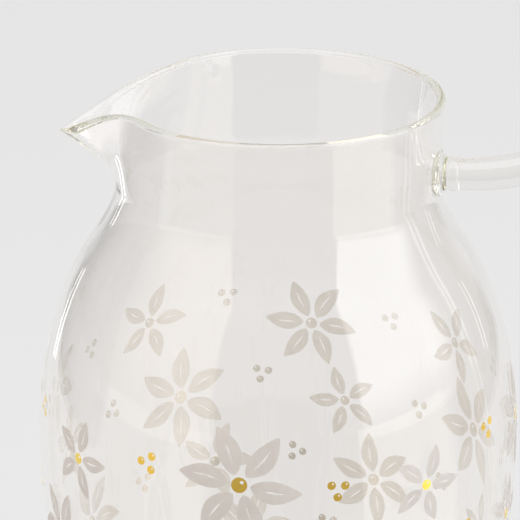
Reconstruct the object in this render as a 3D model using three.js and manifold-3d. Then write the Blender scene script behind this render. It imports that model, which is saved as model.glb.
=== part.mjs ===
// Glass pitcher: a blown vessel with a round belly, a straight neck and a pulled pouring spout, and a
// solid glass handle whose two ends are fused to the neck and the belly by flared pads of glass.
// Millimetres. Z is the vessel's axis and z = 0 is the table. The spout points along -X, the handle along +X.
import * as THREE from 'three';
import { mergeVertices } from 'three/addons/utils/BufferGeometryUtils.js';
import Module from 'manifold-3d';

const wasm = await Module();
wasm.setup();

// Vessel outside: the belly's widest place, the neck's foot below the rim, and the rim's slight flare
const height = 235;
const bodyRadius = 75;
const bellyHeight = 124.5;
const footRadius = 50;
const heelRounding = 11;
const neckRadius = 50;
const neckFootDepth = 38;
const neckRounding = 10;
const rimFlare = 1;
const rimFlareLength = 14;
// Share of a quarter ellipse that the belly's curve takes up, below and above its widest place
const lowerBulge = 0.83;
const shoulderBulge = 0.92;

// Vessel glass
const wall = 2.8;
const baseThickness = 5;
const innerHeelRounding = 14;

// Spout, pulled out of the rim, and the rim's slight pinch on both sides of it
const spoutReach = 18.6;
const spoutHalfWidth = 7.8;
const spoutTipRounding = 3.5;
const spoutDepth = 30.5;
const spoutTipDrop = 14.5;
const spoutLipThickening = 2;
// How gently the spout leaves the neck, and how much wider the drop runs than the reach
const spoutRootSoftness = 0.3;
const dropPlanPower = 0.75;
const pinch = 2.3;
const pinchAngle = THREE.MathUtils.degToRad(35);
const pinchSpread = THREE.MathUtils.degToRad(16);

// Handle: depths below the rim and below the handle's top, and how far each bend sweeps out
const handleDepth = 22.8;
const barDiameter = 9.8;
const gripDiameter = 11;
const barTaperPower = 6;
const topRun = 20;
const topRise = 3;
const fingerGap = 34;
const gripDrop = 50;
const topSweep = 26;
const gripSweepUp = 32;
const gripSweepDown = 38;
const lowerSweep = 26;
const lowerWeldHeight = 84;
const lowerWeldTilt = THREE.MathUtils.degToRad(24);

// Welds between the handle and the vessel
const weldLength = 5.6;
const padRadius = 9.5;
const padSink = 0.9;
const waistRadius = 5;
const waistLength = 2.2;
const ringRadius = 5.6;
const seatGap = 0.3;

// Fineness of the curved faces
const vesselSegments = 64;
const segmentCrowding = 0.7;
const barHalfSides = 7;
const barSteps = 52;
const weldSegments = 28;
const heelDivisions = 4;
const lowerBellyDivisions = 7;
const shoulderDivisions = 8;
const neckFootDivisions = 5;
const neckDivisions = 7;
const rimDivisions = 6;
const innerHeelDivisions = 5;
const flareDivisions = 7;
const ringDivisions = 6;
// Vertices closer than this are one vertex
const mergeDistance = 1e-4;

const glassColour = 0xe4e6dc;

const point = (radius, z) => new THREE.Vector2(radius, z);
const clamp01 = (value) => THREE.MathUtils.clamp(value, 0, 1);

// Vessel outline

const neckFoot = height - neckFootDepth;

function ellipseDrop(share, bulge) {
  return (1 - Math.sqrt(1 - (bulge * share) ** 2)) / (1 - Math.sqrt(1 - bulge ** 2));
}

function bellyRadius(z) {
  if (z < bellyHeight) {
    return bodyRadius - (bodyRadius - footRadius) * ellipseDrop((bellyHeight - z) / bellyHeight, lowerBulge);
  }
  const share = (z - bellyHeight) / (neckFoot - bellyHeight);
  return bodyRadius - (bodyRadius - neckRadius) * ellipseDrop(share, shoulderBulge);
}

function bellySlope(z) {
  const step = 0.01;
  return (bellyRadius(z + step) - bellyRadius(z - step)) / (2 * step);
}

function neckOutline(z) {
  const share = clamp01((z - (height - rimFlareLength)) / rimFlareLength);
  return neckRadius + rimFlare * share ** 2;
}

// A corner rounded by a curve that leaves both sides along their own direction
function roundedCorner(from, corner, to, divisions) {
  return new THREE.QuadraticBezierCurve(from, corner, to).getPoints(divisions);
}

function heelCurve() {
  const top = point(bellyRadius(heelRounding), heelRounding);
  const cornerRadius = top.x - heelRounding * bellySlope(heelRounding);
  return roundedCorner(point(cornerRadius - heelRounding, 0), point(cornerRadius, 0), top, heelDivisions);
}

function neckCurve() {
  const low = neckFoot - neckRounding;
  const from = point(bellyRadius(low), low);
  const corner = point(neckRadius, low + (neckRadius - from.x) / bellySlope(low));
  const to = point(neckRadius, neckFoot + neckRounding);
  return roundedCorner(from, corner, to, neckFootDivisions);
}

function bellyCurve(fromZ, toZ, divisions) {
  const points = [];
  for (let i = 1; i < divisions; i += 1) {
    const z = fromZ + (toZ - fromZ) * (i / divisions);
    points.push(point(bellyRadius(z), z));
  }
  return points;
}

function upperNeckCurve() {
  const fromZ = neckFoot + neckRounding;
  const toZ = height - wall / 2;
  const points = [];
  for (let i = 1; i <= neckDivisions; i += 1) {
    const z = fromZ + (toZ - fromZ) * (i / neckDivisions);
    points.push(point(neckOutline(z), z));
  }
  return points;
}

// The wall's outer face from the heel's toe up to the rim's side
const outerSide = [
  ...heelCurve(),
  ...bellyCurve(heelRounding, bellyHeight, lowerBellyDivisions),
  point(bodyRadius, bellyHeight),
  ...bellyCurve(bellyHeight, neckFoot - neckRounding, shoulderDivisions),
  ...neckCurve(),
  ...upperNeckCurve(),
];

function offsetLine(line, distance) {
  return line.map((here, i) => {
    const before = line[Math.max(i - 1, 0)];
    const after = line[Math.min(i + 1, line.length - 1)];
    const along = after.clone().sub(before).normalize();
    return point(here.x + along.y * distance, here.y - along.x * distance);
  });
}

function rimCurve() {
  const side = outerSide[outerSide.length - 1];
  const half = wall / 2;
  const points = [];
  for (let i = 1; i < rimDivisions; i += 1) {
    const turn = (Math.PI * i) / rimDivisions;
    points.push(point(side.x - half + half * Math.cos(turn), side.y + half * Math.sin(turn)));
  }
  return points;
}

// The wall's inner face, from the rim down to the middle of the floor
function innerCurve() {
  const heelTop = baseThickness + innerHeelRounding;
  const side = offsetLine(outerSide, -wall).filter((p) => p.y > heelTop);
  const lowest = side[0];
  const next = side[1];
  const slope = (next.x - lowest.x) / (next.y - lowest.y);
  const corner = point(lowest.x - (lowest.y - baseThickness) * slope, baseThickness);
  const toe = point(corner.x - innerHeelRounding, baseThickness);
  const floorRound = roundedCorner(toe, corner, lowest, innerHeelDivisions);
  return [...side.reverse(), ...floorRound.reverse().slice(1), point(0, baseThickness)];
}

// Outer radius of the vessel at a height, off the spout
function radiusAt(z) {
  const above = outerSide.findIndex((p) => p.y >= z);
  const high = outerSide[above];
  const low = outerSide[above - 1];
  return low.x + ((high.x - low.x) * (z - low.y)) / (high.y - low.y);
}

// Spout

function spoutPlan(angle) {
  const arc = Math.hypot((neckRadius + rimFlare) * angle, spoutTipRounding) - spoutTipRounding;
  return Math.exp(-arc / spoutHalfWidth);
}

// Share of the full reach at a share of the depth: a soft root, then a straight run to the lip
function spoutGrowth(share) {
  const rise = (value) => Math.hypot(value, spoutRootSoftness) - spoutRootSoftness;
  return rise(share) / rise(1);
}

// Turns the evenly spaced rings so that they crowd at the spout, then pulls the spout out of the rim
function pullSpout(geometry) {
  const position = geometry.getAttribute('position');
  for (let i = 0; i < position.count; i += 1) {
    const radius = Math.hypot(position.getX(i), position.getY(i));
    const even = Math.atan2(position.getY(i), -position.getX(i));
    const angle = even - segmentCrowding * Math.sin(even);
    const z = position.getZ(i);
    const fade = clamp01(1 - (height - z) / spoutDepth);
    const plan = spoutPlan(angle);
    const inward = (neckOutline(z) - radius) / wall;
    const pinched = pinch * Math.exp(-(((Math.abs(angle) - pinchAngle) / pinchSpread) ** 2));
    const reach = (spoutReach - spoutLipThickening * inward) * plan - pinched;
    const pulled = radius + reach * spoutGrowth(fade);
    const drop = spoutTipDrop * plan ** dropPlanPower * fade;
    position.setXYZ(i, -pulled * Math.cos(angle), pulled * Math.sin(angle), z - drop);
  }
  return geometry;
}

// Closed meshes and solids

function weldVertices(geometry) {
  geometry.deleteAttribute('normal');
  geometry.deleteAttribute('uv');
  const merged = mergeVertices(geometry, mergeDistance);
  const old = merged.index.array;
  const kept = [];
  for (let i = 0; i < old.length; i += 3) {
    const [a, b, c] = [old[i], old[i + 1], old[i + 2]];
    if (a !== b && b !== c && c !== a) kept.push(a, b, c);
  }
  merged.setIndex(kept);
  merged.computeVertexNormals();
  return merged;
}

function toSolid(geometry) {
  const vertProperties = new Float32Array(geometry.getAttribute('position').array);
  const triVerts = new Uint32Array(geometry.index.array);
  return new wasm.Manifold(new wasm.Mesh({ numProp: 3, vertProperties, triVerts }));
}

function fromSolid(solid) {
  const mesh = solid.getMesh();
  const geometry = new THREE.BufferGeometry();
  geometry.setAttribute('position', new THREE.BufferAttribute(mesh.vertProperties, 3));
  geometry.setIndex(new THREE.BufferAttribute(mesh.triVerts, 1));
  geometry.computeVertexNormals();
  return geometry;
}

function revolve(profile, segments) {
  return new THREE.LatheGeometry(profile, segments, -Math.PI / 2).rotateX(Math.PI / 2);
}

// Vessel

function vesselGeometry() {
  const profile = [point(0, 0), ...outerSide, ...rimCurve(), ...innerCurve()];
  return weldVertices(pullSpout(revolve(profile, vesselSegments)));
}

// The vessel's outside filled in and grown by the seat gap: what the welds are cut with
function vesselCutter() {
  const grown = offsetLine(outerSide, seatGap);
  const bottom = grown[0].y;
  const top = grown[grown.length - 1].y;
  const profile = [point(0, bottom), ...grown, point(0, top)];
  return toSolid(weldVertices(pullSpout(revolve(profile, vesselSegments))));
}

// Welds: a flared pad on the vessel, a waist and a ring that meets the bar's end

function weldGeometry(seat, tilt, cutter) {
  const barRadius = barDiameter / 2;
  const flare = new THREE.CubicBezierCurve(
    point(padRadius, -padSink), point((padRadius + waistRadius) / 2, 0),
    point(waistRadius, waistLength / 3), point(waistRadius, waistLength),
  );
  const ringLength = weldLength - waistLength;
  const ring = new THREE.CubicBezierCurve(
    point(waistRadius, waistLength), point(ringRadius, waistLength + ringLength / 4),
    point(ringRadius, weldLength - ringLength / 4), point(barRadius, weldLength),
  );
  const profile = [
    point(0, -padRadius), point(padRadius, -padRadius),
    ...flare.getPoints(flareDivisions), ...ring.getPoints(ringDivisions).slice(1), point(0, weldLength),
  ];
  const pad = revolve(profile, weldSegments).rotateY(Math.PI / 2 - tilt);
  pad.translate(seat.x, 0, seat.z);
  return fromSolid(toSolid(weldVertices(pad)).subtract(cutter));
}

// Handle

const handleHeight = height - handleDepth;
const upperSeat = new THREE.Vector3(radiusAt(handleHeight), 0, handleHeight);
const lowerSeat = new THREE.Vector3(radiusAt(lowerWeldHeight), 0, lowerWeldHeight);
const outward = new THREE.Vector3(1, 0, 0);
const lowerOutward = new THREE.Vector3(Math.cos(lowerWeldTilt), 0, Math.sin(lowerWeldTilt));

function handlePath() {
  const reach = weldLength + seatGap;
  const start = upperSeat.clone().addScaledVector(outward, reach);
  const level = start.clone().addScaledVector(outward, topRun / 2);
  const bend = new THREE.Vector3(start.x + topRun, 0, start.z + topRise);
  const rising = bend.clone().sub(level).normalize();
  const grip = new THREE.Vector3(bodyRadius + fingerGap + gripDiameter / 2, 0, handleHeight - gripDrop);
  const end = lowerSeat.clone().addScaledVector(lowerOutward, reach);
  const pastBend = bend.clone().addScaledVector(rising, topSweep);
  const overGrip = new THREE.Vector3(grip.x, 0, grip.z + gripSweepUp);
  const underGrip = new THREE.Vector3(grip.x, 0, grip.z - gripSweepDown);
  const beforeEnd = end.clone().addScaledVector(lowerOutward, lowerSweep);
  const path = new THREE.CurvePath();
  path.add(new THREE.QuadraticBezierCurve3(start, level, bend));
  path.add(new THREE.CubicBezierCurve3(bend, pastBend, overGrip, grip));
  path.add(new THREE.CubicBezierCurve3(grip, underGrip, beforeEnd, end));
  return path;
}

// The round bar is a little thinner at its ends, where it was drawn out while soft
function handleGeometry() {
  const path = handlePath();
  const section = new THREE.Shape().absarc(0, 0, barDiameter / 2, 0, Math.PI * 2);
  const bar = new THREE.ExtrudeGeometry(section, {
    steps: barSteps, curveSegments: barHalfSides, extrudePath: path, bevelEnabled: false,
  });
  const centres = path.getSpacedPoints(barSteps);
  const position = bar.getAttribute('position');
  const vertex = new THREE.Vector3();
  for (let i = 0; i < position.count; i += 1) {
    vertex.fromBufferAttribute(position, i);
    const distances = centres.map((centre) => centre.distanceTo(vertex));
    const step = distances.indexOf(Math.min(...distances));
    const fromMiddle = Math.abs((2 * step) / barSteps - 1);
    const diameter = gripDiameter + (barDiameter - gripDiameter) * fromMiddle ** barTaperPower;
    vertex.sub(centres[step]).multiplyScalar(diameter / barDiameter).add(centres[step]);
    position.setXYZ(i, vertex.x, vertex.y, vertex.z);
  }
  return weldVertices(bar);
}

// Assembly

function glassPiece(name, geometry) {
  const material = new THREE.MeshStandardMaterial({
    color: glassColour, roughness: 0.04, metalness: 0, transparent: true, opacity: 0.4,
  });
  const mesh = new THREE.Mesh(geometry, material);
  mesh.name = name;
  return mesh;
}

const cutter = vesselCutter();
const pitcher = new THREE.Group();
pitcher.add(
  glassPiece('glass_body', vesselGeometry()),
  glassPiece('handle_bar', handleGeometry()),
  glassPiece('upper_handle_weld', weldGeometry(upperSeat, 0, cutter)),
  glassPiece('lower_handle_weld', weldGeometry(lowerSeat, lowerWeldTilt, cutter)),
);

export default pitcher;
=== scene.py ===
# %% [markdown]
# # A clear glass pitcher with a fired print
# The part is a blown glass jug with a straight neck, a pulled spout and a solid glass ear handle.
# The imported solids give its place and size. This lesson rebuilds the glass at a finer grain, melts the
# handle onto the body, lays a thin fired print of rosettes and gold dots on the belly, and lights it as a
# product photograph does: a pale floor, softboxes at both sides and overhead, two narrow strip lights, and
# cards for the glass to mirror.

import math

import bmesh
import bpy
import numpy as np
from mathutils import Matrix, Vector


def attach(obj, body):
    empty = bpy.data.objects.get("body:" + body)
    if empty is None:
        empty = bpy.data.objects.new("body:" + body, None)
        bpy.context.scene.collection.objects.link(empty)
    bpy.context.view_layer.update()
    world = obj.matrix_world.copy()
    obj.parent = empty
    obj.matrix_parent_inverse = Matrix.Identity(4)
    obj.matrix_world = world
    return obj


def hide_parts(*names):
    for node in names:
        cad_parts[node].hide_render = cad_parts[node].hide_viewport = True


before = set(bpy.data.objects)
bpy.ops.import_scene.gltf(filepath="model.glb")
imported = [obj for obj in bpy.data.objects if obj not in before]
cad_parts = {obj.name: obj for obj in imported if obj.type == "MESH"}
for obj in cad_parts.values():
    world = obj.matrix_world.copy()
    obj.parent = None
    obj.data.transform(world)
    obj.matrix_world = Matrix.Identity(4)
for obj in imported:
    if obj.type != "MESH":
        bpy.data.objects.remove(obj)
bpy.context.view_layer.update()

# %% [markdown]
# ## Sizes
# All lengths are in millimetres and repeat the values of the CAD source, so that each piece falls where
# its solid is. The glass is drawn a tenth of a millimetre inside that outline, the rod a trace more, and the
# print fits in the difference, so the finished jug keeps the size of the solids.

# %% Sizes of the jug
MM = 0.001
SKIN = 0.1
ROD_SKIN = 0.15

HEIGHT = 235.0
BODY_RADIUS = 75.0
BELLY_HEIGHT = 124.5
FOOT_RADIUS = 50.0
HEEL_ROUNDING = 11.0
NECK_RADIUS = 50.0
NECK_FOOT = HEIGHT - 38.0
NECK_ROUNDING = 10.0
RIM_FLARE = 1.0
RIM_FLARE_LENGTH = 14.0
LOWER_BULGE = 0.83
SHOULDER_BULGE = 0.92
WALL = 2.8
BASE_THICKNESS = 5.0
INNER_HEEL_ROUNDING = 14.0

SPOUT_REACH = 18.6
SPOUT_HALF_WIDTH = 7.8
SPOUT_TIP_ROUNDING = 3.5
SPOUT_DEPTH = 30.5
SPOUT_TIP_DROP = 14.5
SPOUT_LIP_THICKENING = 2.0
SPOUT_ROOT_SOFTNESS = 0.3
DROP_PLAN_POWER = 0.75
PINCH = 2.3
PINCH_ANGLE = math.radians(35)
PINCH_SPREAD = math.radians(16)

HANDLE_HEIGHT = HEIGHT - 22.8
BAR_DIAMETER = 9.8
GRIP_DIAMETER = 11.0
BAR_TAPER_POWER = 6
TOP_RUN = 20.0
TOP_RISE = 3.0
GRIP_X = BODY_RADIUS + 34.0 + GRIP_DIAMETER / 2
GRIP_HEIGHT = HANDLE_HEIGHT - 50.0
TOP_SWEEP = 26.0
GRIP_SWEEP_UP = 32.0
GRIP_SWEEP_DOWN = 38.0
LOWER_SWEEP = 26.0
LOWER_WELD_HEIGHT = 84.0
LOWER_WELD_TILT = math.radians(24)

WELD_LENGTH = 5.6
PAD_RADIUS = 9.5
PAD_SINK = 0.9
WAIST_RADIUS = 5.0
WAIST_LENGTH = 2.2
RING_RADIUS = 5.6
SEAT_GAP = 0.3

print("jug", HEIGHT, "mm high and", 2 * BODY_RADIUS, "mm wide")

# %% [markdown]
# ## Camera
# The photograph was taken with a long lens from about a metre, some 20 degrees above the rim, with the
# spout turned away from the camera by about 9 degrees. The base and most of the handle lie outside the
# picture.

# %% Camera at the photograph's view
ELEVATION = math.radians(20.27)
SPOUT_TURN = -0.16
DISTANCE = 1.0
LENS = 223.83
AIM_DEPTH = 53.93
AIM_SIDE = -5.744

ahead = Vector((math.sin(SPOUT_TURN), math.cos(SPOUT_TURN), 0.0))
sideways = Vector((math.cos(SPOUT_TURN), -math.sin(SPOUT_TURN), 0.0))
upwards = Vector((0.0, 0.0, 1.0))
back = upwards * math.sin(ELEVATION) - ahead * math.cos(ELEVATION)

camera_data = bpy.data.cameras.new("camera")
camera_data.lens = LENS
camera_data.sensor_width = 36.0
camera_data.clip_end = 50.0
camera = bpy.data.objects.new("camera", camera_data)
bpy.context.collection.objects.link(camera)
aim = upwards * (HEIGHT - AIM_DEPTH) * MM + sideways * AIM_SIDE * MM
camera.location = aim + back * DISTANCE
camera.rotation_euler = back.to_track_quat("Z", "Y").to_euler()
scene = bpy.context.scene
scene.camera = camera
scene.view_settings.view_transform = "Standard"
scene.cycles.max_bounces = 40
scene.cycles.transmission_bounces = 40
scene.cycles.glossy_bounces = 40
print("camera at", [round(v, 3) for v in camera.location])

# %% [markdown]
# ## Small helpers
# Every mesh is made from arrays of points and faces. Node trees are built with two short calls, one that
# adds a node and one that joins two sockets. The last helper tells a view straight through the glass from
# a mirror image in it: the first should show the plain background and the second the studio.

# %% Mesh and node helpers


def new_mesh_object(name, points, faces):
    mesh = bpy.data.meshes.new(name)
    mesh.from_pydata([tuple(p) for p in np.asarray(points) * MM], [], faces)
    mesh.update()
    piece = bpy.data.objects.new(name, mesh)
    bpy.context.collection.objects.link(piece)
    return piece


def shade_smooth(piece):
    for polygon in piece.data.polygons:
        polygon.use_smooth = True


def bake_modifiers(piece):
    """Puts the modified shape into the mesh and drops the modifiers."""
    graph = bpy.context.evaluated_depsgraph_get()
    result = bpy.data.meshes.new_from_object(piece.evaluated_get(graph))
    piece.modifiers.clear()
    piece.data = result


def new_material(name):
    material = bpy.data.materials.new(name)
    material.use_nodes = True
    material.node_tree.nodes.clear()
    return material


def add_node(owner, kind, **values):
    node = owner.node_tree.nodes.new(kind)
    for key, value in values.items():
        if key in node.inputs:
            node.inputs[key].default_value = value
        else:
            setattr(node, key, value)
    return node


def join(owner, source, output, target, entry):
    owner.node_tree.links.new(source.outputs[output], target.inputs[entry])


def towards(bearing):
    """Level direction at a bearing in degrees to the right of the camera's view."""
    turn = math.radians(bearing)
    return ahead * math.cos(turn) + sideways * math.sin(turn)


def straight_view(owner):
    """Adds a value that is 1 for views through the glass with no mirror on their way, and else 0."""
    ray = add_node(owner, "ShaderNodeLightPath")
    turns = add_node(owner, "ShaderNodeMath", operation="ADD")
    unturned = add_node(owner, "ShaderNodeMath", operation="LESS_THAN")
    unturned.inputs[1].default_value = 0.5
    straight = add_node(owner, "ShaderNodeMath", operation="MULTIPLY")
    join(owner, ray, "Glossy Depth", turns, 0)
    join(owner, ray, "Diffuse Depth", turns, 1)
    join(owner, turns, 0, unturned, 0)
    join(owner, ray, "Is Transmission Ray", straight, 0)
    join(owner, unturned, 0, straight, 1)
    return straight


print("the camera looks towards", [round(v, 3) for v in towards(0)])

# %% [markdown]
# ## Stage
# The floor is a plain pale sheet. It shows mostly its own even tone to the lens, straight or through and in
# the glass, and for the rest the light and shadow that fall on it. A wholly diffuse floor would be simpler,
# but its tone would then change with every lamp.

# %% Floor
FLOOR_SIZE = 8.0
FLOOR_DROP = 0.0004
FLOOR_TONE = (0.795, 0.795, 0.8, 1.0)
FLOOR_OWN_SHARE = 0.85

floor_points = np.array([(-1, -1, 0), (1, -1, 0), (1, 1, 0), (-1, 1, 0)]) * FLOOR_SIZE / 2 / MM
floor = new_mesh_object("floor", floor_points, [(0, 1, 2, 3)])
floor.location.z = -FLOOR_DROP
floor_paint = new_material("floor_paint")
paint = add_node(floor_paint, "ShaderNodeBsdfDiffuse", Color=FLOOR_TONE)
tone = add_node(floor_paint, "ShaderNodeEmission", Color=FLOOR_TONE)
ray = add_node(floor_paint, "ShaderNodeLightPath")
lens_or_mirror = add_node(floor_paint, "ShaderNodeMath", operation="MAXIMUM")
any_view = add_node(floor_paint, "ShaderNodeMath", operation="MAXIMUM")
share = add_node(floor_paint, "ShaderNodeMath", operation="MULTIPLY")
share.inputs[1].default_value = FLOOR_OWN_SHARE
blend = add_node(floor_paint, "ShaderNodeMixShader")
paint_out = add_node(floor_paint, "ShaderNodeOutputMaterial")
join(floor_paint, ray, "Is Camera Ray", lens_or_mirror, 0)
join(floor_paint, ray, "Is Glossy Ray", lens_or_mirror, 1)
join(floor_paint, lens_or_mirror, 0, any_view, 0)
join(floor_paint, ray, "Is Transmission Ray", any_view, 1)
join(floor_paint, any_view, 0, share, 0)
join(floor_paint, share, 0, blend, "Fac")
join(floor_paint, paint, "BSDF", blend, 1)
join(floor_paint, tone, "Emission", blend, 2)
join(floor_paint, blend, "Shader", paint_out, "Surface")
floor.data.materials.append(floor_paint)
print("floor", floor.name, FLOOR_SIZE, "m wide")

# %% [markdown]
# A backdrop of the floor's tone stands beyond it, for the lens and for views straight through the glass. What
# the glass mirrors is a studio: pale ahead, dark on the left, dim and warm on the camera's side, with a pale
# ceiling. An evenly lit room would be simpler, but clear glass has no look of its own, so these tones draw
# its shape, and gold only looks like gold when it has something dark to mirror.

# %% Room that the glass mirrors
ROOM_TONES = ((-180, (0.43, 0.37, 0.31)), (-149, (0.43, 0.37, 0.31)), (-100, (0.38, 0.32, 0.26)),
              (-76, (0.15, 0.14, 0.13)), (-38, (0.15, 0.14, 0.13)), (-24, (0.5, 0.49, 0.48)),
              (-14, (0.88, 0.88, 0.88)), (30, (0.88, 0.88, 0.88)), (38, (0.74, 0.73, 0.72)),
              (48, (0.5, 0.47, 0.44)), (80, (0.42, 0.39, 0.36)), (180, (0.43, 0.37, 0.31)))
CEILING_TONE = (0.66, 0.64, 0.62, 1.0)
CEILING_FROM = 0.5
CEILING_TO = 0.75

room = bpy.data.worlds.new("room")
room.use_nodes = True
room.node_tree.nodes.clear()
direction = add_node(room, "ShaderNodeTexCoord")
along = add_node(room, "ShaderNodeVectorMath", operation="DOT_PRODUCT")
along.inputs[1].default_value = ahead
across = add_node(room, "ShaderNodeVectorMath", operation="DOT_PRODUCT")
across.inputs[1].default_value = sideways
bearing = add_node(room, "ShaderNodeMath", operation="ARCTAN2")
level = add_node(room, "ShaderNodeMapRange")
level.inputs["From Min"].default_value = -math.pi
level.inputs["From Max"].default_value = math.pi
walls = add_node(room, "ShaderNodeValToRGB")
while len(walls.color_ramp.elements) < len(ROOM_TONES):
    walls.color_ramp.elements.new(0.5)
for element, (degrees, tone) in zip(walls.color_ramp.elements, ROOM_TONES):
    element.position = degrees / 360 + 0.5
    element.color = (*tone, 1.0)
height = add_node(room, "ShaderNodeSeparateXYZ")
above = add_node(room, "ShaderNodeMapRange", interpolation_type="SMOOTHSTEP")
above.inputs["From Min"].default_value = CEILING_FROM
above.inputs["From Max"].default_value = CEILING_TO
vault = add_node(room, "ShaderNodeMixRGB", Color2=CEILING_TONE)
room_ray = add_node(room, "ShaderNodeLightPath")
pale_view = add_node(room, "ShaderNodeMath", operation="MAXIMUM")
backdrop = add_node(room, "ShaderNodeMixRGB", Color2=FLOOR_TONE)
room_light = add_node(room, "ShaderNodeBackground")
room_out = add_node(room, "ShaderNodeOutputWorld")
join(room, room_ray, "Is Camera Ray", pale_view, 0)
join(room, straight_view(room), 0, pale_view, 1)
join(room, pale_view, 0, backdrop, "Fac")
join(room, direction, "Generated", along, 0)
join(room, direction, "Generated", across, 0)
join(room, across, "Value", bearing, 0)
join(room, along, "Value", bearing, 1)
join(room, bearing, "Value", level, "Value")
join(room, level, "Result", walls, "Fac")
join(room, direction, "Generated", height, "Vector")
join(room, height, "Z", above, "Value")
join(room, above, "Result", vault, "Fac")
join(room, walls, "Color", vault, "Color1")
join(room, vault, "Color", backdrop, "Color1")
join(room, backdrop, "Color", room_light, "Color")
join(room, room_light, "Background", room_out, "Surface")
scene.world = room
print("room", room.name, "with", len(ROOM_TONES), "tones round the walls")

# %% [markdown]
# A glass photographer lays white and dark cards round the set. They stay out of the picture and show only
# where the glass mirrors them. Those near the jug give the neck its tone: pale ones below the softboxes and a
# dim one below the lens. Those along the sides of the paper draw the soft grey zones inside the contours.
# Bearings are counted in degrees to the right of the camera's view.

# %% Cards on the floor
CARD_RISE = 0.001
CARD_END = 5.0
PAPER_EDGE = 0.52
NEAR_CARDS = (("card_under_lens", 143.0, 211.0, (0.38, 0.34, 0.29, 1.0)),
              ("card_white_right", 95.0, 143.0, (1.35, 1.25, 1.12, 1.0)),
              ("card_white_left", -149.0, -97.0, (0.74, 0.67, 0.59, 1.0)))
SIDE_CARDS = (("card_dark_left", -PAPER_EDGE, -90.0, -31.0, (0.32, 0.31, 0.3, 1.0)),
              ("card_grey_left", -PAPER_EDGE, -31.0, -10.0, (0.64, 0.64, 0.64, 1.0)),
              ("card_dark_right", PAPER_EDGE, 38.0, 90.0, (0.5, 0.48, 0.46, 1.0)))
NEAR_CARD_EDGE = 0.27
NEAR_CARD_STEPS = 6
SIDE_CARD_STEPS = 9


def low_point(bearing, distance):
    return (towards(bearing) * distance + upwards * CARD_RISE) / MM


def floor_card(name, bearings, near, tone):
    """Sector of the floor that only mirror images show."""
    last = len(bearings)
    corners = [low_point(b, n) for b, n in zip(bearings, near)] + [low_point(b, CARD_END) for b in bearings]
    faces = [(i, i + 1, last + i + 1, last + i) for i in range(last - 1)]
    card = new_mesh_object(name, corners, faces)
    card_paint = new_material(name)
    card_paint.cycles.emission_sampling = "NONE"
    card_tone = add_node(card_paint, "ShaderNodeEmission", Color=tone)
    card_gone = add_node(card_paint, "ShaderNodeBsdfTransparent")
    card_blend = add_node(card_paint, "ShaderNodeMixShader")
    card_out = add_node(card_paint, "ShaderNodeOutputMaterial")
    join(card_paint, straight_view(card_paint), 0, card_blend, "Fac")
    join(card_paint, card_tone, "Emission", card_blend, 1)
    join(card_paint, card_gone, "BSDF", card_blend, 2)
    join(card_paint, card_blend, "Shader", card_out, "Surface")
    card.data.materials.append(card_paint)
    card.visible_camera = False
    card.visible_diffuse = False
    card.visible_shadow = False


for name, left, right, tone in NEAR_CARDS:
    bearings = np.linspace(left, right, NEAR_CARD_STEPS)
    floor_card(name, bearings, [NEAR_CARD_EDGE] * NEAR_CARD_STEPS, tone)
for name, edge, left, right, tone in SIDE_CARDS:
    bearings = np.linspace(left, right, SIDE_CARD_STEPS)
    floor_card(name, bearings, edge / np.sin(np.radians(bearings)), tone)
print("cards", [values[0] for values in NEAR_CARDS + SIDE_CARDS])

# %% [markdown]
# ## Lights
# The bearings are read off the photograph: a mirror at each highlight shows where its lamp stands. The
# large softbox on the right makes the white window on the shoulder, a weaker and warmer one stands on the
# left, and one hangs overhead for the rim. Their cloth is dimmer towards some of its edges. Two narrow strips
# behind the jug draw the thin white lines inside its contours.

# %% Softboxes and strips
MIDDLE = Vector((0.0, 0.0, 0.17))


def fade_cloth(data, stops_across, stops_up):
    """Sets how a softbox glows across and up its cloth, in stops of a place from 0 to 1 and a share.

    It lights the scene and shows in mirror images, and is left out of views straight through the glass.
    """
    data.use_nodes = True
    data.node_tree.nodes.clear()
    cloth = add_node(data, "ShaderNodeNewGeometry")
    split = add_node(data, "ShaderNodeSeparateXYZ")
    product = add_node(data, "ShaderNodeMath", operation="MULTIPLY")
    mirrored = add_node(data, "ShaderNodeMath", operation="SUBTRACT")
    mirrored.inputs[0].default_value = 1.0
    shown = add_node(data, "ShaderNodeMath", operation="MULTIPLY")
    glow = add_node(data, "ShaderNodeEmission")
    out = add_node(data, "ShaderNodeOutputLight")
    join(data, cloth, "Parametric", split, "Vector")
    for entry, (axis, stops) in enumerate((("X", stops_across), ("Y", stops_up))):
        ramp = add_node(data, "ShaderNodeValToRGB")
        ramp.color_ramp.interpolation = "EASE"
        while len(ramp.color_ramp.elements) < len(stops):
            ramp.color_ramp.elements.new(0.5)
        for element, (place, share) in zip(ramp.color_ramp.elements, stops):
            element.position = place
            element.color = (share, share, share, 1.0)
        join(data, split, axis, ramp, "Fac")
        join(data, ramp, "Color", product, entry)
    join(data, straight_view(data), 0, mirrored, 1)
    join(data, product, "Value", shown, 0)
    join(data, mirrored, "Value", shown, 1)
    join(data, shown, "Value", glow, "Strength")
    join(data, glow, "Emission", out, "Surface")


def panel(name, place, facing, width, height, radiance):
    """Area lamp of an even radiance at a place, turned to face back along a direction."""
    data = bpy.data.lights.new(name, "AREA")
    data.shape = "RECTANGLE"
    data.size = width
    data.size_y = height
    data.energy = radiance * math.pi * width * height
    lamp = bpy.data.objects.new(name, data)
    bpy.context.collection.objects.link(lamp)
    lamp.location = place
    lamp.rotation_euler = facing.to_track_quat("Z", "Y").to_euler()
    lamp.visible_camera = False
    return lamp


def softbox(name, bearing, distance, low, high, width, radiance, seen_from=MIDDLE):
    """Upright panel at a bearing and distance; low and high are the rises of its edges in degrees."""
    foot = distance * math.tan(math.radians(low))
    head = distance * math.tan(math.radians(high))
    direction = towards(bearing)
    place = seen_from + direction * distance + upwards * (foot + head) / 2
    return panel(name, place, direction, width, head - foot, radiance)


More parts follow.
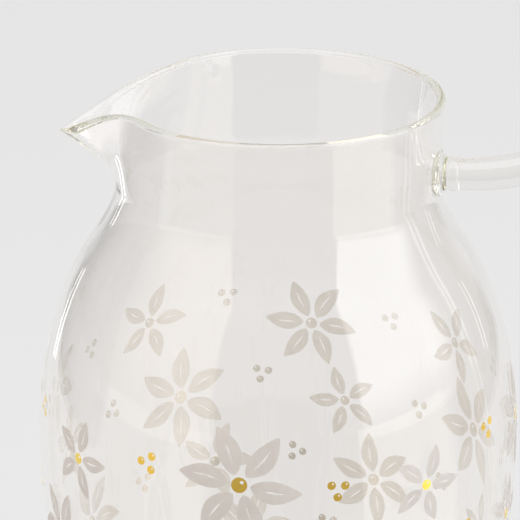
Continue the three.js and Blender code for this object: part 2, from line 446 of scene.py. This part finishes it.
EVEN_GLOW = ((0.0, 1.0), (1.0, 1.0))
OVERHEAD_RISE = math.radians(78)
OVERHEAD_DISTANCE = 1.3
LEFT_SHOULDER = 0.065
RIGHT_SHOULDER = 0.06

softbox_right = softbox("softbox_right", bearing=110, distance=1.0, low=-6, high=62, width=1.24,
                        radiance=2.25)
fade_cloth(softbox_right.data, stops_across=((0.0, 0.0), (0.04, 1.0), (0.7, 1.0), (1.0, 0.05)),
           stops_up=((0.0, 0.3), (0.14, 1.0), (0.8, 1.0), (1.0, 0.3)))
softbox_left = softbox("softbox_left", bearing=-112, distance=1.1, low=-8, high=58, width=1.66,
                       radiance=1.25)
softbox_left.data.color = (1.0, 0.88, 0.78)
fade_cloth(softbox_left.data, stops_across=((0.0, 0.0), (0.55, 1.0), (0.96, 1.0), (1.0, 0.0)),
           stops_up=((0.0, 0.5), (0.3, 1.0), (0.8, 1.0), (1.0, 0.2)))
overhead = upwards * math.sin(OVERHEAD_RISE) - ahead * math.cos(OVERHEAD_RISE)
softbox_top = panel("softbox_top", MIDDLE + overhead * OVERHEAD_DISTANCE, overhead, width=1.9, height=1.2,
                    radiance=1.6)
fade_cloth(softbox_top.data, stops_across=EVEN_GLOW, stops_up=EVEN_GLOW)
softbox("strip_left", bearing=-35, distance=0.5, low=-17, high=-1, width=0.016, radiance=1.9,
        seen_from=MIDDLE - sideways * LEFT_SHOULDER)
softbox("strip_right", bearing=56, distance=0.5, low=-9, high=10, width=0.008, radiance=2.0,
        seen_from=MIDDLE + sideways * RIGHT_SHOULDER)

# %% [markdown]
# ## Materials
# Thin clear glass is almost colourless face on. Its faint olive tint shows only where light runs a long way
# inside, at the rim and in the handle, so that colour is an absorption in the body of the glass. Its surface
# adds only a trace of warmth, and a little haze from washing breaks the perfect polish. Shadow rays pass the
# clear glass. So does a ray that stays caught inside for many turns, a simplification without which the rim
# would be black.

# %% Clear glass
GLASS_IOR = 1.48
GLASS_WARMTH = (1.0, 0.99, 0.983, 1.0)
LEAK_DEPTH = 9
OLIVE_ABSORPTION = (0.6, 0.6, 0.275, 1.0)
ABSORPTION_DENSITY = 4.0
HAZE_SCALE = 38.0
HAZE_ROUGHNESS = 0.03


def glass_material(name, absorption_colour, density):
    material = new_material(name)
    place = add_node(material, "ShaderNodeTexCoord")
    haze = add_node(material, "ShaderNodeTexNoise", Scale=HAZE_SCALE, Detail=3.0, Roughness=0.6)
    band = add_node(material, "ShaderNodeMapRange")
    band.inputs["From Min"].default_value = 0.45
    band.inputs["From Max"].default_value = 0.8
    band.inputs["To Min"].default_value = 0.0
    band.inputs["To Max"].default_value = HAZE_ROUGHNESS
    glass = add_node(material, "ShaderNodeBsdfPrincipled", IOR=GLASS_IOR)
    glass.inputs["Base Color"].default_value = GLASS_WARMTH
    glass.inputs["Transmission Weight"].default_value = 1.0
    tint = add_node(material, "ShaderNodeVolumeAbsorption", Density=density)
    tint.inputs["Color"].default_value = absorption_colour
    clear = add_node(material, "ShaderNodeBsdfTransparent")
    path = add_node(material, "ShaderNodeLightPath")
    caught = add_node(material, "ShaderNodeMath", operation="GREATER_THAN")
    caught.inputs[1].default_value = LEAK_DEPTH
    leaving = add_node(material, "ShaderNodeMath", operation="MAXIMUM")
    passing = add_node(material, "ShaderNodeMixShader")
    out = add_node(material, "ShaderNodeOutputMaterial")
    join(material, place, "Object", haze, "Vector")
    join(material, haze, "Fac", band, "Value")
    join(material, band, "Result", glass, "Roughness")
    join(material, path, "Ray Depth", caught, 0)
    join(material, path, "Is Shadow Ray", leaving, 0)
    join(material, caught, "Value", leaving, 1)
    join(material, leaving, "Value", passing, "Fac")
    join(material, glass, "BSDF", passing, 1)
    join(material, clear, "BSDF", passing, 2)
    join(material, passing, "Shader", out, "Surface")
    join(material, tint, "Volume", out, "Volume")
    return material


clear_glass = glass_material("clear_glass", OLIVE_ABSORPTION, ABSORPTION_DENSITY)
print("glass", clear_glass.name)

# %% [markdown]
# The white of the print is a fired enamel: warm, half glossy, a little uneven because it was printed wet, and
# thin enough to let light through. The gold is a fired lustre, a film of real metal that mirrors the room.
# The film's face against the glass has a colour of its own: for the enamel a paler tone, painted light that
# stands in for light shining through the thin film from behind, and for the gold a plain grey.

# %% Fired enamel and gold lustre


def film_material(name, light, dark, painted_glass_side, grain, roughness, metallic, bump_height, through):
    material = new_material(name)
    place = add_node(material, "ShaderNodeTexCoord")
    cloud = add_node(material, "ShaderNodeTexNoise", Scale=grain, Detail=5.0, Roughness=0.65)
    speck = add_node(material, "ShaderNodeTexNoise", Scale=grain * 9, Detail=2.0, Roughness=0.5)
    colour = add_node(material, "ShaderNodeValToRGB")
    colour.color_ramp.elements[0].position = 0.3
    colour.color_ramp.elements[0].color = dark
    colour.color_ramp.elements[1].position = 0.68
    colour.color_ramp.elements[1].color = light
    surface = add_node(material, "ShaderNodeNewGeometry")
    level = add_node(material, "ShaderNodeVectorMath", operation="MULTIPLY")
    level.inputs[1].default_value = (1.0, 1.0, 0.0)
    outward = add_node(material, "ShaderNodeVectorMath", operation="DOT_PRODUCT")
    inner = add_node(material, "ShaderNodeMath", operation="LESS_THAN")
    inner.inputs[1].default_value = 0.0
    # On the film's face against the glass the colour is swapped for a fixed one: for the enamel a paler tone,
    # painted light from behind; for the gold a plain grey.
    seen = add_node(material, "ShaderNodeMixRGB", Color2=painted_glass_side)
    polish = add_node(material, "ShaderNodeMapRange")
    polish.inputs["From Min"].default_value = 0.3
    polish.inputs["From Max"].default_value = 0.7
    polish.inputs["To Min"].default_value = roughness[0]
    polish.inputs["To Max"].default_value = roughness[1]
    bump = add_node(material, "ShaderNodeBump", Strength=0.35, Distance=bump_height)
    film = add_node(material, "ShaderNodeBsdfPrincipled", Metallic=metallic, IOR=1.5)
    out = add_node(material, "ShaderNodeOutputMaterial")
    join(material, place, "Object", cloud, "Vector")
    join(material, place, "Object", speck, "Vector")
    join(material, cloud, "Fac", colour, "Fac")
    join(material, speck, "Fac", polish, "Value")
    join(material, speck, "Fac", bump, "Height")
    join(material, place, "Object", level, 0)
    join(material, level, "Vector", outward, 0)
    join(material, surface, "Normal", outward, 1)
    join(material, outward, "Value", inner, 0)
    join(material, inner, "Value", seen, "Fac")
    join(material, colour, "Color", seen, "Color1")
    join(material, seen, "Color", film, "Base Color")
    join(material, polish, "Result", film, "Roughness")
    join(material, bump, "Normal", film, "Normal")
    if through:
        lit_from_behind = add_node(material, "ShaderNodeBsdfTranslucent")
        both = add_node(material, "ShaderNodeMixShader", Fac=through)
        join(material, seen, "Color", lit_from_behind, "Color")
        join(material, film, "BSDF", both, 1)
        join(material, lit_from_behind, "BSDF", both, 2)
        join(material, both, "Shader", out, "Surface")
    else:
        join(material, film, "BSDF", out, "Surface")
    return material


white_enamel = film_material("white_enamel", light=(0.81, 0.79, 0.775, 1.0), dark=(0.75, 0.73, 0.715, 1.0),
                             painted_glass_side=(0.9, 0.895, 0.875, 1.0), grain=130.0, roughness=(0.28, 0.45),
                             metallic=0.0, bump_height=0.00002, through=0.5)
gold_lustre = film_material("gold_lustre", light=(1.0, 0.77, 0.19, 1.0), dark=(0.96, 0.65, 0.1, 1.0),
                            painted_glass_side=(0.8, 0.79, 0.75, 1.0), grain=160.0, roughness=(0.14, 0.26),
                            metallic=0.85, bump_height=0.00001, through=0.0)
print("films", white_enamel.name, gold_lustre.name)

# %% [markdown]
# ## The blown vessel
# The jug is blown into a turning mould, so its wall is a revolve: heel, belly, shoulder, straight neck and
# a rim melted round in the flame. The outline is the one of the CAD source with many more points. The
# inner face is never as true as the moulded outside, so it gets about a hundredth of a millimetre of sway. A
# Screw modifier could spin the outline, but the spout has to move single points, so arrays make the mesh.

# %% Outline of the vessel


def ellipse_drop(share, bulge):
    return (1 - np.sqrt(1 - (bulge * share) ** 2)) / (1 - math.sqrt(1 - bulge**2))


def belly_radius(z):
    z = np.asarray(z, dtype=float)
    low = np.clip((BELLY_HEIGHT - z) / BELLY_HEIGHT, 0, 1)
    high = np.clip((z - BELLY_HEIGHT) / (NECK_FOOT - BELLY_HEIGHT), 0, 1)
    below = (BODY_RADIUS - FOOT_RADIUS) * ellipse_drop(low, LOWER_BULGE)
    above = (BODY_RADIUS - NECK_RADIUS) * ellipse_drop(high, SHOULDER_BULGE)
    return BODY_RADIUS - below - above


def belly_slope(z):
    step = 0.01
    return float(belly_radius(z + step) - belly_radius(z - step)) / (2 * step)


def neck_outline(z):
    flare = np.clip((z - (HEIGHT - RIM_FLARE_LENGTH)) / RIM_FLARE_LENGTH, 0, 1)
    return NECK_RADIUS + RIM_FLARE * flare**2


def bezier(points, count):
    """Points along a Bezier curve with any number of control points."""
    points = np.asarray(points, dtype=float)
    order = len(points) - 1
    t = np.linspace(0, 1, count)[:, None]
    total = np.zeros((count, points.shape[1]))
    for i, control in enumerate(points):
        total += math.comb(order, i) * t**i * (1 - t) ** (order - i) * control
    return total


def side_line():
    """Radius and height of the outer face, from the heel's toe to the rim's side."""
    heel_top = (float(belly_radius(HEEL_ROUNDING)), HEEL_ROUNDING)
    heel_corner = heel_top[0] - HEEL_ROUNDING * belly_slope(HEEL_ROUNDING)
    heel = bezier([(heel_corner - HEEL_ROUNDING, 0), (heel_corner, 0), heel_top], 16)
    foot = NECK_FOOT - NECK_ROUNDING
    belly_z = np.concatenate([np.linspace(HEEL_ROUNDING, BELLY_HEIGHT, 90),
                              np.linspace(BELLY_HEIGHT, foot, 64)[1:]])
    belly = np.stack([belly_radius(belly_z), belly_z], axis=1)
    foot_radius = float(belly_radius(foot))
    corner_z = foot + (NECK_RADIUS - foot_radius) / belly_slope(foot)
    neck_foot = bezier([(foot_radius, foot), (NECK_RADIUS, corner_z),
                        (NECK_RADIUS, NECK_FOOT + NECK_ROUNDING)], 20)
    neck_z = np.linspace(NECK_FOOT + NECK_ROUNDING, HEIGHT - WALL / 2, 42)
    neck = np.stack([neck_outline(neck_z), neck_z], axis=1)
    return np.concatenate([heel, belly[1:], neck_foot[1:], neck[1:]])


def line_normals(line):
    along = np.gradient(line, axis=0)
    along /= np.linalg.norm(along, axis=1)[:, None]
    return np.stack([along[:, 1], -along[:, 0]], axis=1)


def inner_line(side):
    """Radius and height of the inner face, from the rim down to the floor's middle."""
    inner = side - WALL * line_normals(side)
    inner = inner[inner[:, 1] > BASE_THICKNESS + INNER_HEEL_ROUNDING]
    lowest = inner[0]
    slope = (inner[1, 0] - lowest[0]) / (inner[1, 1] - lowest[1])
    corner = lowest[0] - (lowest[1] - BASE_THICKNESS) * slope
    heel = bezier([(corner - INNER_HEEL_ROUNDING, BASE_THICKNESS), (corner, BASE_THICKNESS), lowest], 18)
    return np.concatenate([inner[::-1], heel[::-1][1:]])


def rim_line(side):
    top = side[-1]
    turn = np.linspace(0, math.pi, 15)[1:-1]
    half = WALL / 2
    rise = half - SKIN
    return np.stack([top[0] - half + half * np.cos(turn), top[1] + rise * np.sin(turn)], axis=1)


side = side_line()
side[:, 0] -= SKIN
print("outer face", len(side), "points, widest", round(float(side[:, 0].max()), 2), "mm")

# %% [markdown]
# The spout is the step that takes the most skill at the bench. The rim is softened at one place and drawn
# out and down with a tool, while a finger's breadth on each side gets pinched in. Here every ring of the
# revolve is moved by the same rule, strongest at the rim and fading out 30 mm below it.

# %% Pull the spout
SEGMENT_CROWDING = 0.6


def spout_growth(share):
    """Share of the full reach at a share of the depth: a soft root, then a straight run to the lip."""
    rise = np.hypot(share, SPOUT_ROOT_SOFTNESS) - SPOUT_ROOT_SOFTNESS
    return rise / (math.hypot(1, SPOUT_ROOT_SOFTNESS) - SPOUT_ROOT_SOFTNESS)


def pull_spout(radius, even, z):
    """Moves points of the revolve; the angle is counted from the spout."""
    angle = even - SEGMENT_CROWDING * np.sin(even)
    fade = np.clip(1 - (HEIGHT - z) / SPOUT_DEPTH, 0, 1)
    arc = np.hypot((NECK_RADIUS + RIM_FLARE) * angle, SPOUT_TIP_ROUNDING) - SPOUT_TIP_ROUNDING
    plan = np.exp(-arc / SPOUT_HALF_WIDTH)
    inward = (neck_outline(z) - radius) / WALL
    pinched = PINCH * np.exp(-(((np.abs(angle) - PINCH_ANGLE) / PINCH_SPREAD) ** 2))
    reach = (SPOUT_REACH - SPOUT_LIP_THICKENING * inward) * plan - pinched
    pulled = radius + reach * spout_growth(fade)
    drop = SPOUT_TIP_DROP * plan**DROP_PLAN_POWER * fade
    return np.stack([-pulled * np.cos(angle), pulled * np.sin(angle), z - drop], axis=-1)


print("at half depth the spout has", round(float(spout_growth(0.5)), 2), "of its reach")

# %% [markdown]
# The rings are joined into one closed skin: up the outer face, over the rim and down the inner face, with a
# fan at each end on the axis. A Solidify modifier could give the wall its thickness, but the floor is thicker
# than the wall and the rim is round, so both faces are drawn.

# %% Spin the outline into a vessel
VESSEL_SEGMENTS = 384


def revolve(line, segments, move=None):
    """Closed revolve of a line that starts and ends near the axis; both ends are filled with a fan."""
    even = np.linspace(-math.pi, math.pi, segments, endpoint=False)
    radius = np.repeat(line[:, :1], segments, axis=1)
    z = np.repeat(line[:, 1:], segments, axis=1)
    turn = np.repeat(even[None, :], len(line), axis=0)
    if move is None:
        rings = np.stack([radius * np.cos(turn), radius * np.sin(turn), z], axis=-1)
    else:
        rings = move(radius, turn, z)
    points = np.concatenate([rings.reshape(-1, 3), [(0, 0, line[0, 1])], [(0, 0, line[-1, 1])]])
    faces = []
    for i in range(len(line) - 1):
        for j in range(segments):
            k = (j + 1) % segments
            faces.append((i * segments + j, i * segments + k, (i + 1) * segments + k, (i + 1) * segments + j))
    first = len(line) * segments
    last_ring = (len(line) - 1) * segments
    for j in range(segments):
        k = (j + 1) % segments
        faces.append((first, k, j))
        faces.append((first + 1, last_ring + j, last_ring + k))
    return points, faces


def face_outwards(piece):
    work = bmesh.new()
    work.from_mesh(piece.data)
    bmesh.ops.recalc_face_normals(work, faces=work.faces)
    work.to_mesh(piece.data)
    work.free()


INNER_SWAY = 0.012
SWAY_RIM_MARGIN = 4
SWAY_FLOOR_MARGIN = 12
SWAY_FADE = 20
# Each wave has a share, a count round the jug, a climb per millimetre and a start.
SWAY_WAVES = ((1.0, 3, 0.045, 0.0), (1.0, 7, -0.09, 1.3), (0.6, 13, 0.17, 0.4), (0.6, 2, 0.21, 0.0))


def sway(points, inner_from):
    """A slow unevenness of the inner face, fading out at the rim and on the floor."""
    x, y, z = points[inner_from:].T
    angle = np.arctan2(y, x)
    wave = 0.0
    for share, around, climb, start in SWAY_WAVES:
        wave = wave + share * np.sin(around * angle + climb * z + start)
    below_rim = np.clip((HEIGHT - SWAY_RIM_MARGIN - z) / SWAY_FADE, 0, 1)
    hold = below_rim * np.clip((z - SWAY_FLOOR_MARGIN) / SWAY_FADE, 0, 1)
    points[inner_from:, 0] += INNER_SWAY * wave * hold * np.cos(angle)
    points[inner_from:, 1] += INNER_SWAY * wave * hold * np.sin(angle)


rim = rim_line(side)
vessel_line = np.concatenate([side, rim, inner_line(side)])
vessel_points, vessel_faces = revolve(vessel_line, VESSEL_SEGMENTS, pull_spout)
sway(vessel_points, (len(side) + len(rim)) * VESSEL_SEGMENTS)
pitcher = new_mesh_object("pitcher_glass", vessel_points, vessel_faces)
face_outwards(pitcher)
print("vessel", len(vessel_faces), "faces")

# %% [markdown]
# ## Handle and welds
# The handle is a solid rod bent while hot. Its end is pressed on the softened wall, which spreads into a
# flared pad, and the squeezed glass leaves a ring round the rod. On the real jug all of this is one melt,
# so the pieces are united here into one body of glass. A bevelled curve would give the rod too, but arrays
# keep the taper of the CAD source.

# %% Shape the rod
BAR_SIDES = 48


def radius_at(z):
    return float(np.interp(z, side[:, 1], side[:, 0]))


def handle_line():
    reach = WELD_LENGTH + SEAT_GAP
    start = np.array([radius_at(HANDLE_HEIGHT) + reach, HANDLE_HEIGHT])
    level = start + (TOP_RUN / 2, 0)
    bend = start + (TOP_RUN, TOP_RISE)
    rising = (bend - level) / np.linalg.norm(bend - level)
    grip = np.array([GRIP_X, GRIP_HEIGHT])
    outward = np.array([math.cos(LOWER_WELD_TILT), math.sin(LOWER_WELD_TILT)])
    seat = np.array([radius_at(LOWER_WELD_HEIGHT), LOWER_WELD_HEIGHT])
    end = seat + reach * outward
    upper = bezier([bend, bend + TOP_SWEEP * rising, grip + (0, GRIP_SWEEP_UP), grip], 70)
    lower = bezier([grip, grip - (0, GRIP_SWEEP_DOWN), end + LOWER_SWEEP * outward, end], 90)
    sunk = 2.0
    root = start - (sunk, 0)
    run = bezier([start, level, bend], 16)
    tail = end - sunk * outward
    return np.concatenate([[root], run, upper[1:], lower[1:], [tail]])


def rod(line, sides):
    """Round rod along a line in the plane of symmetry, a little thinner at its ends."""
    along = np.gradient(line, axis=0)
    along /= np.linalg.norm(along, axis=1)[:, None]
    across = np.stack([along[:, 1], -along[:, 0]], axis=1)
    steps = np.concatenate([[0], np.cumsum(np.linalg.norm(np.diff(line, axis=0), axis=1))])
    from_middle = np.abs(2 * steps / steps[-1] - 1)
    half = (GRIP_DIAMETER + (BAR_DIAMETER - GRIP_DIAMETER) * from_middle**BAR_TAPER_POWER) / 2 - ROD_SKIN
    turn = np.linspace(0, 2 * math.pi, sides, endpoint=False)
    x = line[:, :1] + half[:, None] * np.cos(turn) * across[:, :1]
    z = line[:, 1:] + half[:, None] * np.cos(turn) * across[:, 1:]
    y = half[:, None] * np.sin(turn) * np.ones_like(x)
    points = np.stack([x, y, z], axis=-1).reshape(-1, 3)
    faces = []
    for i in range(len(line) - 1):
        for j in range(sides):
            k = (j + 1) % sides
            faces.append((i * sides + j, i * sides + k, (i + 1) * sides + k, (i + 1) * sides + j))
    faces.append(tuple(range(sides)))
    faces.append(tuple(range((len(line) - 1) * sides, len(line) * sides)))
    return points, faces


handle = new_mesh_object("handle_rod", *rod(handle_line(), BAR_SIDES))
face_outwards(handle)
print("rod", len(handle.data.polygons), "faces")

# %% [markdown]
# Each weld is a small revolve of pad, waist and ring, turned to stand on the wall. It could end at the outer
# face, but two bodies that only touch don't unite well, so a core halfway inside the wall cuts it.

# %% Shape the two welds
WELD_SEGMENTS = 64
CORE_SEGMENTS = 192


def weld(name, seat_z, tilt):
    q = WELD_LENGTH - WAIST_LENGTH
    flare = bezier([(PAD_RADIUS, -PAD_SINK), ((PAD_RADIUS + WAIST_RADIUS) / 2, 0),
                    (WAIST_RADIUS, WAIST_LENGTH / 3), (WAIST_RADIUS, WAIST_LENGTH)], 24)
    ring = bezier([(WAIST_RADIUS, WAIST_LENGTH), (RING_RADIUS, WAIST_LENGTH + q / 4),
                   (RING_RADIUS, WELD_LENGTH - q / 4), (BAR_DIAMETER / 2 - ROD_SKIN, WELD_LENGTH)], 18)
    line = np.concatenate([[(PAD_RADIUS, -PAD_RADIUS)], flare, ring[1:]])
    points, faces = revolve(line, WELD_SEGMENTS)
    piece = new_mesh_object(name, points, faces)
    turn = Matrix.Rotation(math.pi / 2 - tilt, 4, "Y")
    seat = Matrix.Translation(Vector((radius_at(seat_z), 0, seat_z)) * MM)
    piece.data.transform(seat @ turn)
    face_outwards(piece)
    return piece


def boolean(piece, other, operation):
    modifier = piece.modifiers.new(operation, "BOOLEAN")
    modifier.operation = operation
    modifier.solver = "MANIFOLD"
    modifier.object = other
    bake_modifiers(piece)


core_line = side - 0.5 * WALL * line_normals(side)
core = new_mesh_object("core", *revolve(core_line, CORE_SEGMENTS))
face_outwards(core)
upper_weld = weld("upper_weld", HANDLE_HEIGHT, 0.0)
lower_weld = weld("lower_weld", LOWER_WELD_HEIGHT, LOWER_WELD_TILT)
for piece in (upper_weld, lower_weld):
    boolean(piece, core, "DIFFERENCE")
    boolean(pitcher, piece, "UNION")
boolean(pitcher, handle, "UNION")
for spare in (core, upper_weld, lower_weld, handle):
    bpy.data.objects.remove(spare)
shade_smooth(pitcher)
pitcher.data.materials.clear()
pitcher.data.materials.append(clear_glass)
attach(pitcher, "root")
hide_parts("glass_body", "handle_bar", "upper_handle_weld", "lower_handle_weld")
print("melted glass", len(pitcher.data.polygons), "faces")

# %% [markdown]
# ## The fired print
# The belly carries a screen print. This design is a plain one: rosettes of five or six petals round a gold
# dot, in staggered rows, with three small gold dots between neighbours. Each shape is drawn flat in
# millimetres, then laid round the belly and given the thickness of a printed film. A texture could draw it
# too, but geometry keeps its crisp edges in the mesh.

# %% Lay flat shapes on the belly
FILM_GAP = 0.02
FILM_THICKNESS = 0.05
FILM_MERGE = 0.004
FILM_SHARP_ANGLE = math.radians(40)

side_normal = line_normals(side)
side_run = np.concatenate([[0], np.cumsum(np.linalg.norm(np.diff(side, axis=0), axis=1))])


def on_belly(flat, bearing, height):
    """Places flat points, across and up in millimetres, round a point of the belly."""
    flat = np.asarray(flat, dtype=float)
    run = np.interp(height, side[:, 1], side_run) + flat[:, 1]
    radius = np.interp(run, side_run, side[:, 0])
    z = np.interp(run, side_run, side[:, 1])
    outward = np.interp(run, side_run, side_normal[:, 0])
    lift = np.interp(run, side_run, side_normal[:, 1])
    angle = bearing + flat[:, 0] / radius
    radius = radius + FILM_GAP * outward
    return np.stack([radius * np.cos(angle), radius * np.sin(angle), z + FILM_GAP * lift], axis=1)


def turned(flat, angle):
    c, s = math.cos(angle), math.sin(angle)
    flat = np.asarray(flat, dtype=float)
    return np.stack([c * flat[:, 0] - s * flat[:, 1], s * flat[:, 0] + c * flat[:, 1]], axis=1)


class Film:
    """Collects patches of one colour."""

    def __init__(self):
        self.points = []
        self.faces = []
        self.count = 0

    def patch(self, placed, faces):
        self.points.append(placed)
        self.faces.extend(tuple(i + self.count for i in face) for face in faces)
        self.count += len(placed)

    def piece(self, name, material, slot):
        result = new_mesh_object(name, np.concatenate(self.points), self.faces)
        work = bmesh.new()
        work.from_mesh(result.data)
        bmesh.ops.remove_doubles(work, verts=work.verts, dist=FILM_MERGE * MM)
        work.to_mesh(result.data)
        work.free()
        thick = result.modifiers.new("film", "SOLIDIFY")
        thick.thickness = FILM_THICKNESS * MM
        thick.offset = 1.0
        bake_modifiers(result)
        shade_smooth(result)
        result.data.set_sharp_from_angle(angle=FILM_SHARP_ANGLE)
        result.data.materials.clear()
        result.data.materials.append(material)
        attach(result, "root")
        print(name, len(result.data.polygons), "faces")
        return result


print("the side measures", round(float(side_run[-1]), 1), "mm from heel to rim")

# %% [markdown]
# A petal is a lens with an open slit as its vein, and a dot is a disc with an open spot like a glint. Filled
# curves could draw both, but strips of small faces bend round the belly without creases.

# %% Petals and dots as flat shapes
PETAL_STEPS = 18
PETAL_END_HALF_WIDTH = 0.02
PETAL_SWELL_PLACE = 0.86
PETAL_FULLNESS = 0.82
SLIT_HALF_WIDTH = 0.26
SLIT_FROM = 0.2
SLIT_LENGTH = 0.5
DOT_SIDES = 36


def petal(length, width, bow):
    """Lens-shaped petal along +Y from its foot, bowed sideways, with an open slit along its middle."""
    t = np.linspace(0.0, 1.0, PETAL_STEPS + 1)
    half = width / 2 * np.sin(math.pi * t**PETAL_SWELL_PLACE) ** PETAL_FULLNESS + PETAL_END_HALF_WIDTH
    slit = SLIT_HALF_WIDTH * np.sin(math.pi * np.clip((t - SLIT_FROM) / SLIT_LENGTH, 0, 1))
    middle = bow * np.sin(math.pi * t)
    columns = [-half, -(half + slit) / 2, -slit, slit, (half + slit) / 2, half]
    points = [np.stack([middle + column, t * length], axis=1) for column in columns]
    rows = PETAL_STEPS + 1
    faces = []
    for c in (0, 1, 3, 4):
        for i in range(PETAL_STEPS):
            faces.append((c * rows + i, (c + 1) * rows + i, (c + 1) * rows + i + 1, c * rows + i + 1))
    return np.concatenate(points), faces


def dot(diameter, hole, hole_shift):
    """Disc with a small open spot off its centre."""
    turn = np.linspace(0, 2 * math.pi, DOT_SIDES, endpoint=False)
    circle = np.stack([np.cos(turn), np.sin(turn)], axis=1)
    inner = circle * hole / 2 + hole_shift
    outer = circle * diameter / 2
    rings = [inner, (inner + outer) / 2, outer]
    faces = []
    for r in range(2):
        near = r * DOT_SIDES
        far = near + DOT_SIDES
        for j in range(DOT_SIDES):
            k = (j + 1) % DOT_SIDES
            faces.append((near + j, far + j, far + k, near + k))
    return np.concatenate(rings), faces


print("a petal has", 4 * PETAL_STEPS, "faces and a dot", 2 * DOT_SIDES)

# %% [markdown]
# The rows are staggered like bricks, and every other rosette is smaller. Random numbers could vary them, but
# a slow sine wave gives the same print at each run.

# %% Print the rosettes in staggered rows
ROWS = (135.0, 107.0, 80.0, 54.0, 30.0)
ROSETTES_PER_ROW = 8
ROSETTE_KINDS = ((1.0, 6), (0.78, 5))
TURN_OF_ROWS = 0.23
PETAL_LENGTH = 14.5
PETAL_WIDTH = 6.6
PETAL_FOOT = 3.0
PETAL_BOW = 0.7
CENTRE_DOT = 4.5
SMALL_DOT = 2.6
SMALL_DOT_RING = 2.4
LIGHT_SPOT = np.array([0.16, 0.18])
LIGHT_SPOT_SHARE = 0.22
SIZE_WANDER = 0.08
HEIGHT_WANDER = 3
TURN_WANDER = 0.4
SMALL_DOTS_RISE = 4

petals = Film()
dots = Film()


def rosette(bearing, height, turn, size, count):
    """A ring of petals round a gold dot."""
    for i in range(count):
        angle = turn + 2 * math.pi * i / count
        points, faces = petal(PETAL_LENGTH * size, PETAL_WIDTH * size, PETAL_BOW * size)
        points = turned(points + np.array([0.0, PETAL_FOOT * size]), angle)
        petals.patch(on_belly(points, bearing, height), faces)
    spot = LIGHT_SPOT_SHARE * CENTRE_DOT * size
    points, faces = dot(CENTRE_DOT * size, spot, LIGHT_SPOT * CENTRE_DOT * size)
    dots.patch(on_belly(points, bearing, height), faces)


def three_dots(bearing, height, turn):
    """Three small gold dots in a triangle."""
    for i in range(3):
        middle = turned([(0.0, SMALL_DOT_RING)], turn + 2 * math.pi * i / 3)[0]
        points, faces = dot(SMALL_DOT, LIGHT_SPOT_SHARE * SMALL_DOT, LIGHT_SPOT * SMALL_DOT)
        dots.patch(on_belly(points + middle, bearing, height), faces)


for row, height in enumerate(ROWS):
    for i in range(ROSETTES_PER_ROW):
        bearing = 2 * math.pi * (i + 0.5 * (row % 2)) / ROSETTES_PER_ROW + TURN_OF_ROWS * row
        wander = math.sin(2.4 * i + 1.7 * row)
        round_size = float(belly_radius(height)) / BODY_RADIUS * (1 + SIZE_WANDER * wander)
        share, count = ROSETTE_KINDS[(i + row // 2) % 2]
        rosette(bearing, height + HEIGHT_WANDER * wander, TURN_WANDER * wander, round_size * share, count)
        dots_height = height + SMALL_DOTS_RISE - HEIGHT_WANDER * wander
        three_dots(bearing + math.pi / ROSETTES_PER_ROW, dots_height, wander)

print_petals = petals.piece("print_petals", white_enamel, "white_enamel")
print_dots = dots.piece("print_dots", gold_lustre, "gold_lustre")
